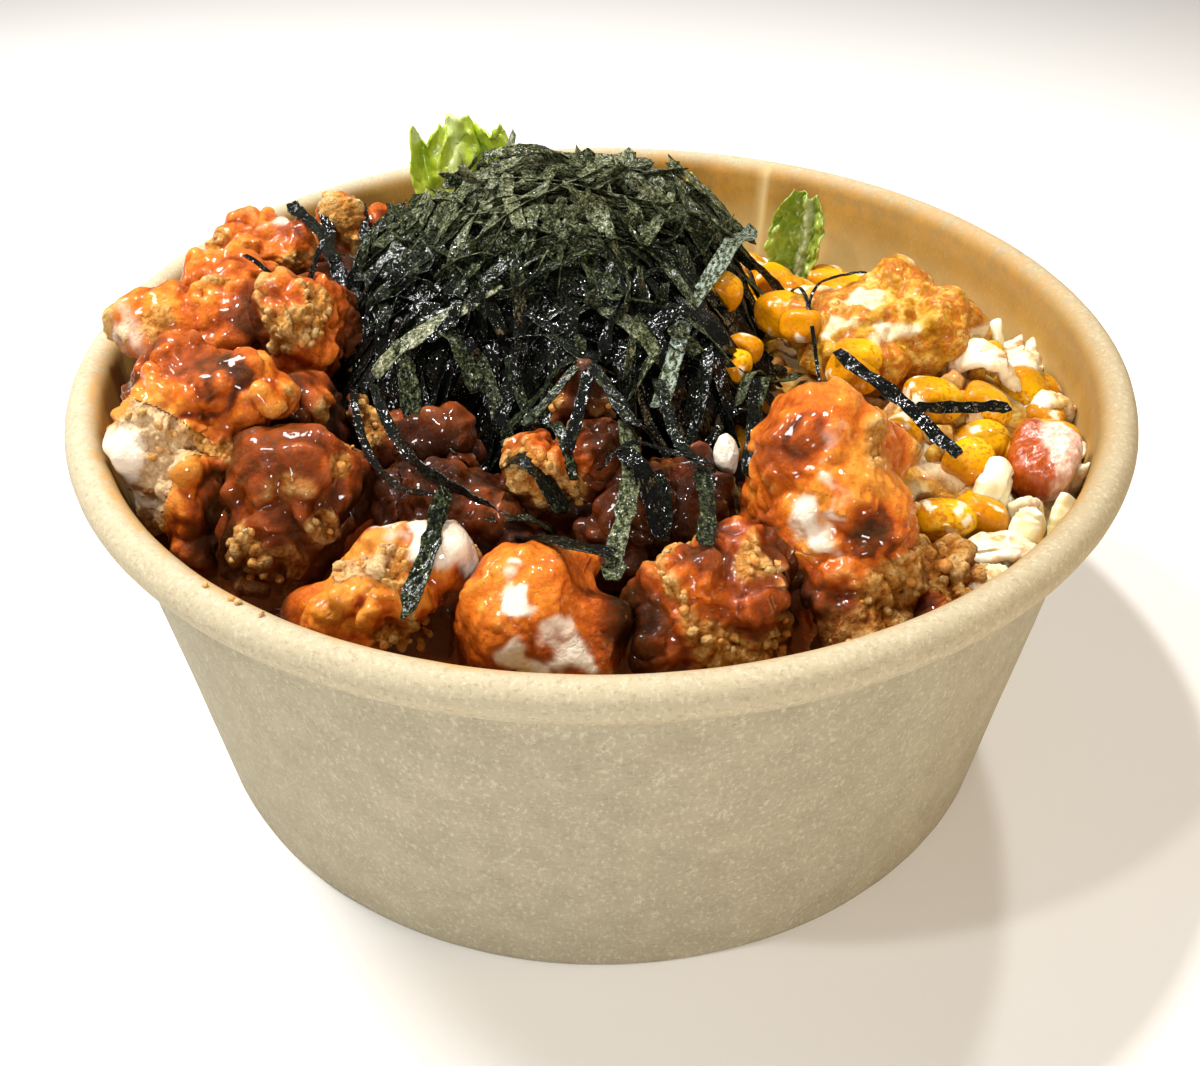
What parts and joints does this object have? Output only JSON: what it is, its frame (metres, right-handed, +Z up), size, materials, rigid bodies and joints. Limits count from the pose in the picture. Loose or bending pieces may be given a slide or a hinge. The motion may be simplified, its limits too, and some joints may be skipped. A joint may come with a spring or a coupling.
{
  "type": "bowl of spicy chicken rice",
  "caption": "Round paper bowl of rice topped with glazed fried chicken, a heap of shredded seaweed, lettuce and a dressed corn salad.",
  "frame": {"origin": "middle of the underside of the bowl, on the surface it stands on", "axes": "+Z up out of the bowl; -Y towards the side with the chicken, +X towards the corn salad"},
  "size_m": [0.1498, 0.1498, 0.0786],
  "materials": {
    "paper": "matt brown kraft paper",
    "fried_chicken": "rough golden crust under a glossy red-orange sauce",
    "mayonnaise": "glossy cream",
    "dressed_salad": "glossy corn and cabbage under a cream dressing",
    "crab": "moist, orange-red outside and pale inside",
    "lettuce": "satin leaf",
    "seaweed": "crackled near-black green with a faint gloss",
    "rice": "moist white grains"
  },
  "bodies": {
    "root": {"paper_bowl": "paper", "chicken_tan_left": "fried_chicken", "chicken_upper_left": "fried_chicken", "chicken_dark_left": "fried_chicken", "chicken_mid_left": "fried_chicken", "chicken_upper_right": "fried_chicken", "chicken_left_back": "fried_chicken", "chicken_inner_left": "fried_chicken", "chicken_back_nub": "fried_chicken", "chicken_knob": "fried_chicken", "chicken_front_small": "fried_chicken", "chicken_front_centre": "fried_chicken", "chicken_front_right": "fried_chicken", "chicken_nugget": "fried_chicken", "chicken_big_right": "fried_chicken", "mayonnaise_nub": "mayonnaise", "chicken_crumbs_right": "fried_chicken", "chicken_centre": "fried_chicken", "chicken_under_left": "fried_chicken", "chicken_under_right": "fried_chicken", "chicken_centre_back": "fried_chicken", "chicken_centre_left": "fried_chicken", "dressed_chunk": "dressed_salad", "crab_stick": "crab", "corn_salad": "dressed_salad", "lettuce_leaf_1": "lettuce", "lettuce_leaf_2": "lettuce", "lettuce_leaf_3": "lettuce", "lettuce_leaf_4": "lettuce", "seaweed_heap": "seaweed", "seaweed_strip_1": "seaweed", "seaweed_strip_2": "seaweed", "seaweed_strip_3": "seaweed", "seaweed_strip_4": "seaweed", "seaweed_strip_5": "seaweed", "seaweed_strip_6": "seaweed", "seaweed_strip_7": "seaweed", "seaweed_strip_8": "seaweed", "rice_bed": "rice"}
  },
  "joints": []
}
